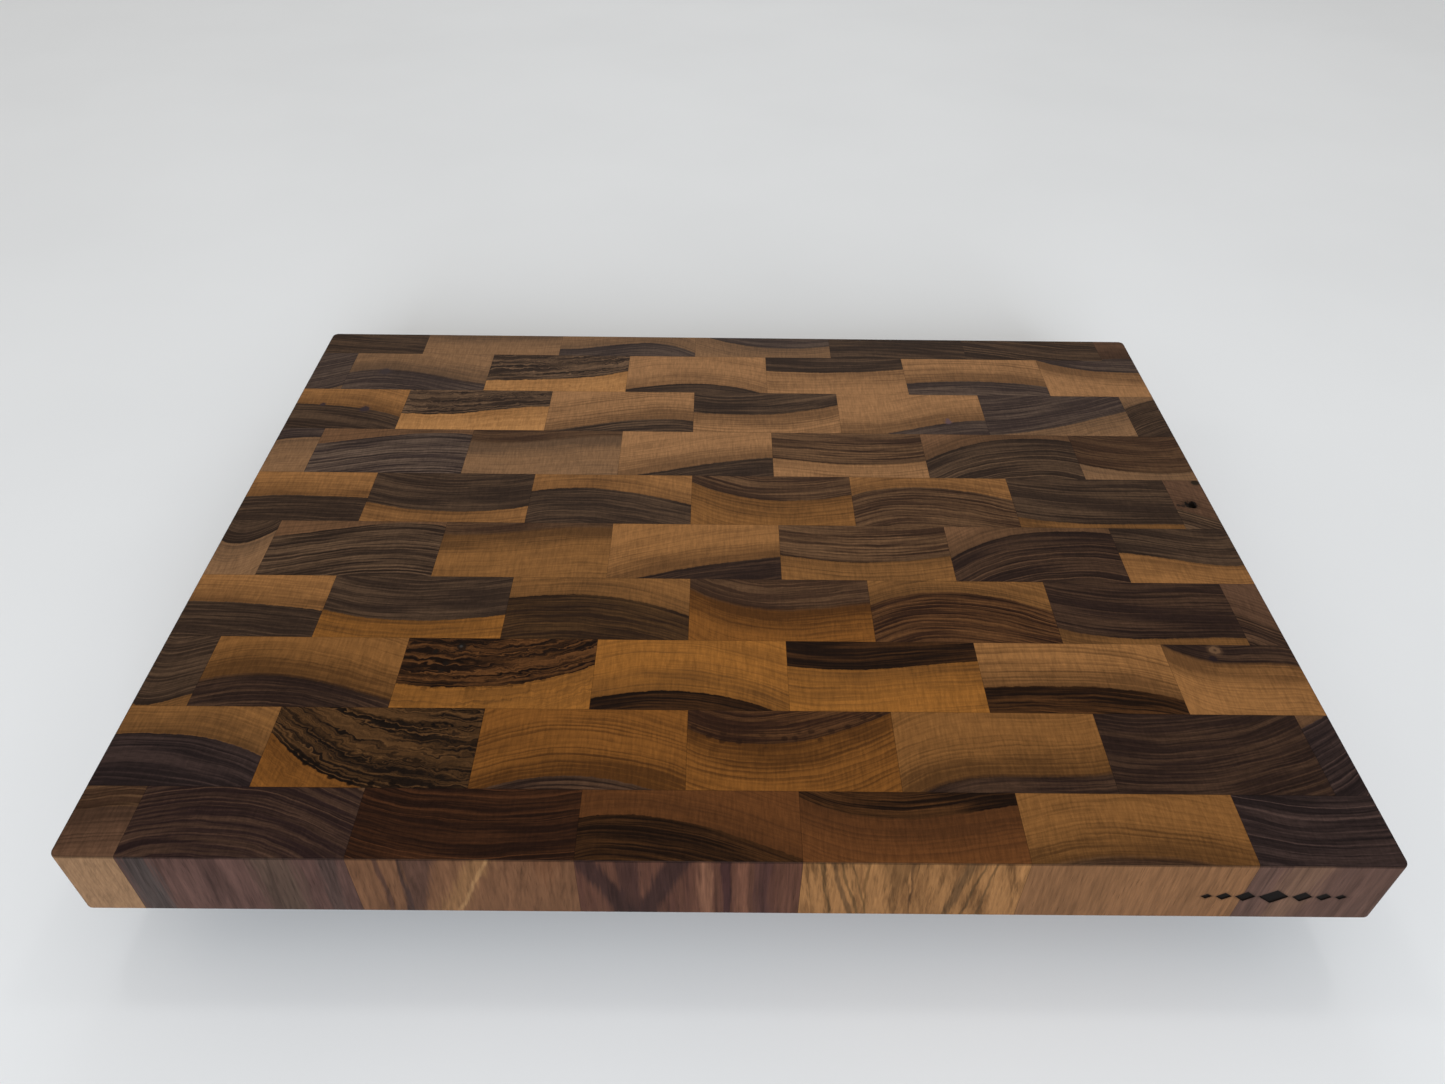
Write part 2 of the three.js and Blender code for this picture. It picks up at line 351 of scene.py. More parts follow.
# Every bar from the front, every block from the left: the side of the boundary that is heartwood
# (BELOW is towards the front), the boundary's height over the block's front edge at its left end,
# one third, two thirds and right end, the two tones, and the look.
BARS_OF_STRIPS = {
    1: [
        (ABOVE, (25, 26, 27, 27), "ochre", "brown", "ringed"),
        (BELOW, (50, 56, 50, 36), "plum", "clay", "dark"),
        (ABOVE, (-8, -16, -18, -14), "mocha", "clay", "smooth"),
        (BELOW, (22, 23.5, 15, 2), "ebony", "cedar", "calm"),
        (ABOVE, (35, 23.7, 25, 31), "ebony", "cedar", "ringed"),
        (BELOW, (-3, 4, 3, -3), "ochre", "straw", "soft"),
        (ABOVE, (-14, -18, -20, -18), "violet", "clay", "dark"),
    ],
    2: [
        (BELOW, (31, 31, 27.5, 18.3), "violet", "tan", "calm"),
        (ABOVE, (32, 7, -3, -5), "soot", "amber", "wild"),
        (BELOW, (-3, 7.3, 5.5, -6), "umber", "amber", "ringed"),
        (ABOVE, (37, 27.5, 33, 48), "russet", "amber", "ringed"),
        (BELOW, (-6, 8.5, 10, 12), "umber", "straw", "soft"),
        (ABOVE, (-20, -22, -16, -4), "umber", "clay", "calm"),
        (BELOW, (40, 43, 46, 50), "violet", "clay", "dark"),
    ],
    3: [
        (ABOVE, (1.5, 0.5, 4, 8), "bark", "tan", "calm"),
        (BELOW, (17, 22, 16, 4.5), "umber", "straw", "soft"),
        (ABOVE, (16.5, 14, 17.5, 30), "ebony", "gold", "wild"),
        (BELOW, (7, 12.7, 9.5, -4), "ebony", "gold", "calm"),
        (ABOVE, (31, 28.3, 31, 35.5), "ebony", "gold", "calm"),
        (BELOW, (17, 18.5, 17.2, 9.5), "ebony", "honey", "ringed"),
        (ABOVE, (49, 36.5, 35, 33), "umber", "honey", "soft"),
    ],
    4: [
        (BELOW, (27, 26.5, 24, 20.5), "bark", "honey", "calm"),
        (ABOVE, (21, 14, 13.3, 18.5), "bark", "gold", "calm"),
        (BELOW, (31.5, 35, 31, 18.5), "cocoa", "tan", "calm"),
        (ABOVE, (41, 26, 25, 29.5), "ochre", "amber", "soft"),
        (BELOW, (28.5, 39.5, 37, 24.5), "russet", "tan", "lined"),
        (ABOVE, (12, 4.5, 4.8, 5), "umber", "tan", "calm"),
        (BELOW, (24, 20, 15, 11), "umber", "brown", "lined"),
    ],
    5: [
        (ABOVE, (30, 27, 30.5, 40), "bark", "dun", "calm"),
        (BELOW, (34, 41, 47, 44.5), "bark", "clay", "lined"),
        (ABOVE, (38, 39, 44, 45), "ochre", "tan", "soft"),
        (BELOW, (-7, 5.5, 14, 20), "umber", "honey", "plain"),
        (ABOVE, (21.5, 16, 16.5, 22), "ochre", "tan", "lined"),
        (BELOW, (20, 39, 45.5, 43.5), "umber", "clay", "dark"),
        (ABOVE, (26.5, 22, 16.5, 16.5), "bark", "honey", "calm"),
    ],
    6: [
        (BELOW, (23, 25, 24.5, 23), "bark", "honey", "calm"),
        (ABOVE, (19, 11.5, 10, 16), "bark", "honey", "calm"),
        (BELOW, (31, 35, 29.5, 19), "bark", "honey", "calm"),
        (ABOVE, (42, 27, 24, 30), "ochre", "straw", "lined"),
        (BELOW, (29.5, 39, 36.5, 26.5), "ochre", "honey", "lined"),
        (ABOVE, (10.5, 4.5, 4.2, 3.8), "bark", "tan", "calm"),
        (BELOW, (20, 16, 11.5, 7.5), "bark", "brown", "lined"),
    ],
    7: [
        (ABOVE, (34, 37, 38, 38.5), "slate", "dun", "calm"),
        (BELOW, (31, 38.5, 44, 43), "slate", "clay", "lined"),
        (ABOVE, (36, 35, 40.5, 42.5), "ochre", "dun", "soft"),
        (BELOW, (-3, 6, 15, 20.5), "bark", "sand", "plain"),
        (ABOVE, (20, 15, 14, 18.5), "ochre", "sand", "lined"),
        (BELOW, (19, 37.5, 45, 41.5), "bark", "clay", "dark"),
        (ABOVE, (17, 9.5, 7, 10), "ochre", "dun", "calm"),
    ],
    8: [
        (BELOW, (30, 28, 24, 15), "bark", "honey", "calm"),
        (ABOVE, (19, 19, 24.5, 29.5), "bark", "wheat", "wild"),
        (BELOW, (-1, 8, 14.5, 12.5), "bark", "sand", "ringed"),
        (ABOVE, (24.5, 21, 24.5, 34.5), "bark", "sand", "ringed"),
        (BELOW, (-3, 1.5, 12, 17.5), "slate", "sand", "plain"),
        (ABOVE, (0, 6, 17, 30.5), "slate", "dun", "calm"),
        (BELOW, (33, 38.5, 42.5, 46), "bark", "dun", "calm"),
    ],
    9: [
        (ABOVE, (-8, -4, 0, 5), "slate", "dun", "calm"),
        (BELOW, (22, 26, 18, 8), "slate", "dun", "soft"),
        (ABOVE, (13, 15, 18, 28), "bark", "wheat", "wild"),
        (BELOW, (3, 10.5, 10, -2), "bark", "sand", "calm"),
        (ABOVE, (30, 28, 29, 34), "bark", "sand", "calm"),
        (BELOW, (15, 18, 17.6, 12), "slate", "sand", "ringed"),
        (ABOVE, (49, 38, 33, 32), "slate", "sand", "plain"),
    ],
    10: [
        (BELOW, (50, 47, 44, 41), "bark", "clay", "calm"),
        (ABOVE, (34, 30, 31, 36), "ochre", "dun", "plain"),
        (BELOW, (9, 14.5, 19, 5), "slate", "dun", "calm"),
        (ABOVE, (34, 18, 13, 17), "slate", "dun", "calm"),
        (BELOW, (45, 45, 43, 38), "bark", "clay", "calm"),
        (BELOW, (60, 52, 46, 42), "bark", "clay", "dark"),
        (BELOW, (2, 3, 3, 2), "slate", "brown", "plain"),
    ],
}

# Bars crosscut from the same glued panel repeat its strips, so they share their rings' seeds.
PANEL_OF_BAR = {1: 0, 2: 1, 3: 2, 4: 3, 5: 4, 6: 3, 7: 4, 8: 1, 9: 2, 10: 5}
PANEL_SEED = 71.0
STRIP_SEED = 13.7
DRIFT = 6.0  # how far the rings' small wander moves on from one bar of a panel to the next

# The long grain on the front, the back and the ends takes less oil than the end grain on top.
SIDE_LIFT = 1.45
OTHER_SIDES_CONTRAST = 0.8  # of the stripes on the back and the ends

# The front bar's faces, from the left: ground, darker stripes, contrast, lean of the stripes in
# millimetres for each millimetre down
FRONT_FACES = [
    ("745941", "624a35", 0.25, -0.25),
    ("4b3630", "32231f", 0.85, -0.05),
    ("593d2a", "472f20", 0.60, -0.12),
    ("492f24", "311d19", 0.70, 0.02),
    ("7f5a37", "573b22", 1.00, 0.12),
    ("64462e", "583c27", 0.25, 0.06),
    ("49352d", "3e2e29", 0.35, 0.0),
]

# Veins on the front faces, by block: where they cross the top and the bottom of the face in X, half
# their width there, how soft their edge is, their tone and how strong it is
FRONT_VEINS = {
    2: [(-267, -268, 5, 7, 4, "342f2d", 0.8), (-207, -206, 8, 7, 6, "3d3228", 0.6),
        (-182, -184, 3.5, 2.5, 2, "362a26", 0.8)],
    3: [(-160, -159, 1.0, 0.8, 0.8, "3c2922", 0.8), (-141, -147.5, 8.0, 2.0, 3.0, "3b2922", 0.85),
        (-149, -150.5, 0.6, 1.4, 0.8, "2b1f1c", 0.8), (-109, -128, 0.7, 0.7, 0.9, "806142", 0.8),
        (-84, -86, 5.5, -8, 5.0, "513422", 0.6), (-113, -132, 4, 4, 5, "725334", 0.5)],
    4: [(-66, -48, 4.0, 5.0, 3.0, "271917", 0.85), (-24, -40, 5.0, 4.0, 3.0, "271917", 0.85),
        (-47, -44, 5.0, 2.5, 3.0, "291a18", 0.7), (-11.5, -11, 2.5, 3.0, 1.5, "644433", 0.7),
        (-2.3, -2, 1.8, 1.5, 1.0, "2a1919", 0.8), (5.4, 5.2, 1.8, 2.2, 1.2, "603f30", 0.6),
        (14, 15, 3.0, 3.0, 3.0, "33211f", 0.6)],
    5: [(45, 57, 0.9, 1.2, 0.8, "46321f", 0.8), (40, 47, 0.7, 0.5, 0.6, "44321d", 0.7),
        (49, 60, 0.4, 0.6, 0.5, "44321d", 0.7), (54, 65, 0.3, 0.4, 0.4, "44321d", 0.6),
        (62, 63, 0.6, 0.3, 0.5, "47321b", 0.6), (76, 74, 7.0, -6.0, 6.0, "46301b", 0.6),
        (108, 101, 2.0, 1.4, 2.2, "3b2b1b", 0.7), (114, 109, 0.5, 0.4, 0.6, "3f2e1b", 0.7),
        (120, 116, 0.5, 0.4, 0.6, "3f2e1b", 0.7), (82, 84, 0.5, 0.4, 0.5, "3b2818", 0.7)],
    7: [(262, 258, 8, 5, 6, "604838", 0.6), (242, 244, 3, 4, 3, "46342d", 0.7)],
}


def cubic_through(heights):
    """Coefficients of the cubic through four heights at -1, -1/3, 1/3 and 1, constant first."""
    a, b, c, d = heights
    return (
        (-a + 9 * b + 9 * c - d) / 16,
        (a - 27 * b + 27 * c - d) / 16,
        (9 * a - 9 * b - 9 * c + 9 * d) / 16,
        (-9 * a + 27 * b - 27 * c + 9 * d) / 16,
    )


GROUP_INPUTS = (
    "Middle", "Half length", "Front", "A0", "A1", "A2", "A3", "Side", "Seed", "Drift", *LOOK_INPUTS,
    "Knobs", "Face", "Face contrast", "Face lean",
    "Left seam", "Right seam", "Front seam", "Rear seam",
)
GROUP_COLOURS = ("Heart", "Heart light", "Sap", "Sap dark", "Face ground", "Face dark")
BLACK = (0.0, 0.0, 0.0, 1.0)


def walnut_group():
    """Node group: the colour, roughness and relief of a walnut block at any place on it."""
    n, given = new_group(
        "walnut_grain",
        dict.fromkeys(GROUP_INPUTS, FLOAT) | dict.fromkeys(GROUP_COLOURS, COLOUR),
        {"Colour": COLOUR, "Roughness": FLOAT, "Relief": FLOAT, "Shade": FLOAT},
    )
    place = n.place()
    x, y, z = n.split(place)

    # Place inside the block, moved by its seed so that every strip has its own wander. The grain
    # runs along Z, so everything changes slowly that way.
    local_x = n.minus(x, given["Middle"])
    local_y = n.minus(y, given["Front"])
    local_z = n.plus(z, given["Drift"])
    inside = n.join(local_x, local_y, n.times(local_z, 0.16))
    seed_shift = n.join(given["Seed"], n.times(given["Seed"], 1.7), n.times(given["Seed"], 0.6))
    inside = n.vector("ADD", inside, seed_shift)

    # Depth into the heartwood: distance behind the boundary, with its small wander
    u = n.math("DIVIDE", local_x, given["Half length"])
    curve = n.gain(u, given["A3"], given["A2"])
    curve = n.gain(curve, u, given["A1"])
    curve = n.gain(curve, u, given["A0"])
    depth = n.times(n.minus(curve, local_y), given["Side"])
    slow = n.noise(n.over(inside, 48, 34, 34), detail=1.0)
    small = n.noise(n.over(inside, 17, 10, 10), detail=2.0)
    wild = n.noise(n.over(inside, 9, 5, 5), detail=3.0, distortion=0.6)
    near = n.step(n.absolute(depth), 0.0, 10.0)
    depth = n.plus(depth, n.times(slow, n.gain(near, 2.2, 0.9)))
    depth = n.plus(depth, n.times(small, 0.7))
    wander = n.times(n.times(wild, given["Figure"]), n.gain(near, 0.7, 0.35))
    depth = n.plus(depth, wander)
    ragged = n.noise(n.over(inside, 3.4, 2.6, 2.6), detail=3.0, roughness=0.6)
    edge = n.plus(depth, n.times(ragged, 0.85))
    heart = n.step(edge, n.times(given["Soft"], -1.0), given["Soft"])

    # Rings: each darkens to its latewood line and starts again, with a strength of its own
    spaced = n.math("DIVIDE", depth, given["Rings"])
    uneven = n.noise(n.join(n.times(spaced, 0.35), given["Seed"], 0.0), detail=1.0)
    ring = n.gain(uneven, 1.3, spaced)
    ring_number = n.math("FLOOR", ring)
    across = n.minus(ring, ring_number)
    of_ring = {"Vector": n.join(ring_number, given["Seed"], 0.0)}
    strength = n.add("ShaderNodeTexWhiteNoise", of_ring, output="Value", noise_dimensions="3D")
    late = n.between(across, 0.25, 0.88, 0.92, 1.0)
    late = n.times(late, n.gain(strength, 0.9, 0.25))
    pale_line = n.between(across, 0.0, 0.08, 0.1, 0.28)
    pale_line = n.times(pale_line, n.step(strength, 0.35, 0.95))

    # Stripes in the heartwood, broad and narrow, stretched along the rings, and short dashes
    seed = (given["Seed"], 1)
    broad = n.noise(n.stretched((depth, 6.5), (local_x, 70), seed), detail=1.0)
    narrow = n.noise(n.stretched((depth, 1.35), (local_x, 60), seed), detail=2.0, roughness=0.6)
    bands = n.step(n.plus(n.times(broad, 0.55), n.times(narrow, 0.80)), -0.22, 0.34)
    fine = n.noise(n.stretched((depth, 0.9), (local_x, 5), (local_z, 40)), detail=3.0, roughness=0.6)

    # Rays cross the rings as fine threads
    across_rings = n.stretched((local_x, 1.25), (local_y, 9), (local_z, 18))
    threads = n.noise(across_rings, detail=2.0, roughness=0.55)

    # Pores: dots on the end grain, long dashes on the sides
    pores = n.cells(n.stretched((x, 0.85), (y, 0.85), (z, 14)))
    pores = n.inverse(n.step(pores, 0.12, 0.24))
    pores = n.times(pores, n.gain(n.step(across, 0.0, 0.5), -0.6, 1.0))

    # Heartwood: bands, latewood, pale lines and the darker rim along the boundary
    heart_colour = n.mix(n.times(bands, given["Bands"]), given["Heart"], given["Heart light"])
    darkening = n.times(n.times(late, given["Heart rings"]), 0.60)
    rim = n.between(depth, -0.4, 0.5, 1.2, 3.5)
    darkening = n.math("MAXIMUM", darkening, n.times(rim, 0.45))
    heart_colour = n.mix(darkening, heart_colour, n.mix(0.62, heart_colour, BLACK))
    heart_colour = n.mix(n.times(pale_line, given["Streaks"]), heart_colour, given["Heart light"])

    # Knobs: dark spots along the boundary of a wild block
    knobs = n.cells(n.over(inside, 9, 8, 40), voronoi_dimensions="2D")
    knobs = n.inverse(n.step(knobs, 0.14, 0.24))
    knobs = n.times(knobs, n.between(depth, -4.0, -1.0, 4.0, 9.0))
    knobs = n.times(knobs, given["Knobs"])

    # Sapwood: rings, a slightly browner strip next to the heartwood and a slow change of tone
    sap_rings = n.times(late, given["Sap rings"])
    beside = n.inverse(n.step(n.absolute(depth), 0.5, 24.0))
    sap_mix = n.plus(n.times(sap_rings, 0.70), n.times(beside, given["Beside"]))
    sap_mix = n.plus(sap_mix, n.times(n.minus(bands, 0.5), 0.38))
    blotch = n.noise(n.over(inside, 34, 14, 14), detail=3.0)
    sap_mix = n.plus(sap_mix, n.gain(blotch, 0.55, 0.12))
    sap_mix = n.math("MAXIMUM", n.math("MINIMUM", sap_mix, 1.0), 0.0)
    sap_colour = n.mix(sap_mix, given["Sap"], given["Sap dark"])

    colour = n.mix(heart, sap_colour, heart_colour)
    colour = n.mix(knobs, colour, n.mix(0.5, given["Heart"], BLACK))
    shade = n.gain(threads, n.gain(heart, -0.14, 0.42), 1.0)
    shade = n.times(shade, n.gain(fine, n.gain(heart, 0.30, 0.20), 1.0))
    shade = n.times(shade, n.gain(blotch, 0.10, 1.0))
    shade = n.times(shade, n.gain(pores, -0.35, 1.0))

    # The long grain on the sides: the same wood, lighter, or the front bar's own faces
    side = n.sides()
    lean = n.times(n.minus(BOARD_HIGH.z, z), given["Face lean"])
    leaning = n.join(n.minus(x, lean), n.minus(y, lean), z)
    stripes = n.noise(n.over(leaning, 9, 9, 160), detail=5.0, roughness=0.66, distortion=0.25)
    hair = n.noise(n.over(leaning, 1.2, 1.2, 60), detail=3.0, roughness=0.6)
    lines = n.noise(n.over(leaning, 3.4, 3.4, 170), detail=3.0, roughness=0.7, distortion=0.15)
    lines = n.step(lines, -0.02, 0.40)
    stripe_mix = n.step(n.plus(stripes, n.times(hair, 0.55)), -0.30, 0.45)
    stripe_mix = n.times(stripe_mix, given["Face contrast"])
    face_colour = n.mix(stripe_mix, given["Face ground"], given["Face dark"])
    lifted = n.scaled(colour, SIDE_LIFT)
    colour = n.mix(side, colour, n.mix(given["Face"], lifted, face_colour))
    side_shade = n.plus(n.gain(stripes, 0.22, 1.04), n.times(hair, 0.40))
    lines = n.times(lines, n.gain(given["Face contrast"], 0.40, 0.06))
    side_shade = n.minus(side_shade, lines)
    shade = n.times(shade, n.plus(1.0, n.times(side, n.minus(side_shade, 1.0))))

    # Painted shade: the eased top rim, and any other sloping face of the wood, is darkened by how far
    # it slopes
    eased = n.between(n.upright(), 0.10, 0.35, 0.80, 0.97)
    shade = n.times(shade, n.gain(eased, -0.45, 1.0))

    # The glue line at each seam
    to_seam = n.math("MINIMUM", n.minus(x, given["Left seam"]), n.minus(given["Right seam"], x))
    to_seam = n.math("MINIMUM", to_seam, n.minus(y, given["Front seam"]))
    to_seam = n.math("MINIMUM", to_seam, n.minus(given["Rear seam"], y))
    glue = n.inverse(n.step(to_seam, 0.05, 0.22))
    shade = n.times(shade, n.gain(glue, -0.45, 1.0))
    colour = n.scaled(colour, shade)

    sheen = n.noise(n.over(place, 90, 60, 60), detail=2.0)
    roughness = n.gain(sheen, 0.05, 0.50)
    roughness = n.plus(roughness, n.times(threads, 0.03))
    roughness = n.plus(roughness, n.times(pores, 0.15))
    relief = n.plus(n.times(late, 0.4), n.times(threads, 0.25))
    relief = n.minus(relief, n.times(pores, 1.0))
    relief = n.minus(relief, n.times(glue, 0.8))

    results = {"Colour": colour, "Roughness": roughness, "Relief": relief, "Shade": shade}
    return finish_group(n, results)


def scorch_group():
    """Node group: how charred a place is, 1 inside the ornament's lozenges, with a soft halo."""
    n, _ = new_group("scorch", {}, {"Char": FLOAT})
    place = n.place()
    x, y, z = n.split(place)
    outside = 50.0
    for centre, length, height in LOZENGES:
        across = n.times(n.absolute(n.minus(x, centre)), 2 / length)
        up = n.times(n.absolute(n.minus(z, ORNAMENT_Z)), 2 / height)
        slope = math.hypot(2 / length, 2 / height)
        beyond = n.times(n.minus(n.plus(across, up), 1.0), 1 / slope)
        outside = n.math("MINIMUM", outside, beyond)
    flicker = n.noise(place, scale=1.3, detail=2.0)
    outside = n.plus(outside, n.times(flicker, 0.25))
    char = n.inverse(n.step(outside, -0.15, 0.35))
    halo = n.times(n.inverse(n.step(outside, 0.0, 1.6)), 0.30)
    near_front = n.inverse(n.step(y, BOARD_LOW.y + 1.0, BOARD_LOW.y + 2.0))
    return finish_group(n, {"Char": n.times(n.math("MAXIMUM", char, halo), near_front)})


KNOT_INPUTS = ("X", "Y", "Radius", "Dark")
VEIN_INPUTS = ("Top", "Bottom", "Half top", "Half bottom", "Soft")


def knot_group():
    """Node group: a small knot in the end grain, as darkness from 0 to 1."""
    n, given = new_group("knot", dict.fromkeys(KNOT_INPUTS, FLOAT), {"Darkness": FLOAT})
    place = n.place()
    x, y = n.split(place)[:2]
    away_x, away_y = n.minus(x, given["X"]), n.minus(y, given["Y"])
    distance = n.math("SQRT", n.plus(n.times(away_x, away_x), n.times(away_y, away_y)))
    uneven = n.noise(place, scale=0.45, detail=3.0)
    far = n.plus(n.math("DIVIDE", distance, given["Radius"]), n.times(uneven, 0.35))
    core = n.inverse(n.step(far, 0.75, 1.05))
    rim = n.inverse(n.step(far, 0.9, 1.6))
    darkness = n.math("MAXIMUM", n.times(core, given["Dark"]), n.times(rim, 0.30))
    return finish_group(n, {"Darkness": darkness})


def vein_group():
    """Node group: one vein on the front face, as its strength from 0 to 1."""
    n, given = new_group("vein", dict.fromkeys(VEIN_INPUTS, FLOAT), {"Strength": FLOAT})
    x, y, z = n.split(n.place())
    down = n.times(n.minus(BOARD_HIGH.z, z), 1 / (BOARD_HIGH.z - BOARD_LOW.z))
    middle = n.plus(given["Top"], n.times(down, n.minus(given["Bottom"], given["Top"])))
    half = n.plus(given["Half top"], n.times(down, n.minus(given["Half bottom"], given["Half top"])))
    wobble = n.noise(n.stretched((x, 14), (given["Top"], 1), (z, 22)), detail=2.0)
    hair = n.noise(n.stretched((x, 1.3), (given["Top"], 1), (z, 26)), detail=3.0)
    away = n.absolute(n.plus(n.minus(x, middle), n.times(wobble, 2.8)))
    beyond = n.plus(n.minus(away, half), n.times(n.times(hair, given["Soft"]), 1.6))
    strength = n.inverse(n.step(beyond, n.times(given["Soft"], -0.5), given["Soft"]))
    strength = n.times(strength, n.sides())
    strength = n.times(strength, n.inverse(n.step(y, BOARD_LOW.y + 2.0, BOARD_LOW.y + 3.0)))
    return finish_group(n, {"Strength": strength})


WALNUT = walnut_group()
VEIN = vein_group()
SCORCH = scorch_group()
KNOT = knot_group()
CHAR_COLOUR = "0e0a08"

# Small knots: (middle in X and Y, radius, strength, tone), by bar and block
KNOTS = {
    (3, 3): [
        (-144.6, -99.3, 2.9, 0.9, "17110d"), (-144.9, -99.0, 0.9, 0.7, "3c3a38"),
        (-150.8, -111.5, 1.9, 0.9, "17110d"), (-152.2, -116.5, 1.7, 0.8, "17110d"),
        (-158.0, -103.0, 1.5, 0.8, "17110d"),
    ],
    (3, 7): [
        (262.2, -96.9, 3.3, 0.85, "6b4f38"), (262.4, -96.9, 0.9, 0.7, "33241c"),
        (259.2, -103.2, 2.4, 0.9, "221819"),
    ],
    (6, 7): [
        (291.2, 28.6, 4.4, 1.0, "15100d"), (301.2, 51.0, 2.8, 0.9, "201a12"),
        (285.6, 26.9, 1.5, 0.8, "1e1613"), (282.9, 27.6, 1.3, 0.8, "1e1613"),
    ],
    (8, 1): [(-285.2, 131.0, 2.0, 0.95, "35292a"), (-254.6, 125.8, 3.6, 0.95, "33282a")],
    (8, 5): [(151.8, 117.0, 2.4, 0.9, "5a4648"), (151.8, 120.0, 1.3, 0.9, "5a4648")],
    (9, 2): [(-252.0, 174.5, 4.2, 0.9, "3a302f")],
}
KNOBS = {(2, 2): 0.9, (2, 4): 0.6, (3, 3): 0.4}  # how dark the knobs are along a boundary
WALNUT_SPECULAR = 0.03
RELIEF_DEPTH = 0.00006  # metres, for the pores and rings
TOUCHING = 0.01
NO_SEAM = 10.0  # a seam that isn't there lies this far outside the board


def outside_sides(low, high):
    """Which sides of a block are outside faces of the board."""
    return {
        "left": low.x <= BOARD_LOW.x + TOUCHING,
        "right": high.x >= BOARD_HIGH.x - TOUCHING,
        "front": low.y <= BOARD_LOW.y + TOUCHING,
        "rear": high.y >= BOARD_HIGH.y - TOUCHING,
    }


def walnut_material(bar, block, low, high):
    side, heights, heart, sap, look = BARS_OF_STRIPS[bar][block - 1]
    material, n, shader = new_material(f"walnut_{bar}_{block}")
    grain = n.tree.nodes.new("ShaderNodeGroup")
    grain.node_tree = WALNUT
    face, face_dark, face_contrast, face_lean = FRONT_FACES[block - 1]
    a0, a1, a2, a3 = cubic_through(heights)
    seed = PANEL_OF_BAR[bar] * PANEL_SEED + block * STRIP_SEED
    outside = outside_sides(low, high)
    values = {
        "Middle": (low.x + high.x) / 2,
        "Half length": (high.x - low.x) / 2,
        "Front": low.y,
        "A0": a0, "A1": a1, "A2": a2, "A3": a3,
        "Side": side,
        "Seed": seed,
        "Drift": bar * DRIFT,
        **dict(zip(LOOK_INPUTS, LOOKS[look])),
        "Knobs": KNOBS.get((bar, block), 0.0),
        "Face": 1.0 if bar == 1 else 0.0,
        "Face contrast": face_contrast if bar == 1 else OTHER_SIDES_CONTRAST,
        "Face lean": face_lean,
        "Left seam": low.x - NO_SEAM * outside["left"],
        "Right seam": high.x + NO_SEAM * outside["right"],
        "Front seam": low.y - NO_SEAM * outside["front"],
        "Rear seam": high.y + NO_SEAM * outside["rear"],
    }
    for name, value in values.items():
        grain.inputs[name].default_value = value
    colours = HEART_TONES[heart] + SAP_TONES[sap] + (face, face_dark)
    for name, colour in zip(GROUP_COLOURS, colours):
        grain.inputs[name].default_value = linear(colour)
    colour = grain.outputs["Colour"]
    for *shape, tone in KNOTS.get((bar, block), ()):
        knot = n.add("ShaderNodeGroup", dict(zip(KNOT_INPUTS, shape)), node_tree=KNOT)
        colour = n.mix(knot, colour, linear(tone))
    veins = FRONT_VEINS.get(block, ()) if bar == 1 else ()
    for *shape, tone, share in veins:
        vein = n.add("ShaderNodeGroup", dict(zip(VEIN_INPUTS, shape)), node_tree=VEIN)
        vein_colour = n.scaled(linear(tone)[:3], grain.outputs["Shade"])
        colour = n.mix(n.times(vein, share), colour, vein_colour)
    if (bar, block) in ORNAMENT_BLOCKS:
        char = n.add("ShaderNodeGroup", node_tree=SCORCH)
        colour = n.mix(char, colour, linear(CHAR_COLOUR))
    bump = n.bump(grain.outputs["Relief"], 0.6, RELIEF_DEPTH)
    looks = {"Base Color": colour, "Roughness": grain.outputs["Roughness"], "Normal": bump}
    n.link(looks, shader.inputs)
    shader.inputs["Specular IOR Level"].default_value = WALNUT_SPECULAR
    return material


# ---------- Blocks ----------

ARC_STEPS = 8
EASE_STEPS = 5
KNOT_HOLE_STEPS = 28
PILOT_STEPS = 20
SHARP_DEGREES = 35.0


def finish_mesh(name, bm, material=None):
    """An object in the scene from bmesh coordinates in millimetres."""
    bmesh.ops.scale(bm, vec=(MM, MM, MM), verts=bm.verts)
    bmesh.ops.recalc_face_normals(bm, faces=bm.faces)
    mesh = bpy.data.meshes.new(name)
    bm.to_mesh(mesh)
    bm.free()
    if material is not None:
        mesh.materials.append(material)
    mesh.set_sharp_from_angle(angle=math.radians(SHARP_DEGREES))
    piece = bpy.data.objects.new(name, mesh)
    bpy.context.scene.collection.objects.link(piece)
    return piece


def skin(bm, rings, smooth=False):
    """Faces between each ring of corners and the next."""
    for under, over in zip(rings, rings[1:]):
        for i in range(len(under)):
            j = (i + 1) % len(under)
            bm.faces.new((under[i], under[j], over[j], over[i])).smooth = smooth


def capped(bm, rings):
    bm.faces.new(list(reversed(rings[0])))
    bm.faces.new(rings[-1])
    return bm


def block_outline(low, high, outside, inset):
    """The block's plan, counter-clockwise, with its outside faces moved in by inset."""
    right = high.x - inset * outside["right"]
    left = low.x + inset * outside["left"]
    rear = high.y - inset * outside["rear"]
    front = low.y + inset * outside["front"]
    radius = CORNER_RADIUS - inset
    corners = [
        (right, rear, 0, outside["right"] and outside["rear"]),
        (left, rear, 90, outside["left"] and outside["rear"]),
        (left, front, 180, outside["left"] and outside["front"]),
        (right, front, 270, outside["right"] and outside["front"]),
    ]
    points = []
    for x, y, start, rounded in corners:
        if not rounded:
            points.append((x, y))
            continue
        middle = math.radians(start + 45)
        centre_x = x - math.copysign(radius, math.cos(middle))
        centre_y = y - math.copysign(radius, math.sin(middle))
        for step in range(ARC_STEPS + 1):
            angle = math.radians(start + 90 * step / ARC_STEPS)
            points.append((centre_x + radius * math.cos(angle), centre_y + radius * math.sin(angle)))
    return points


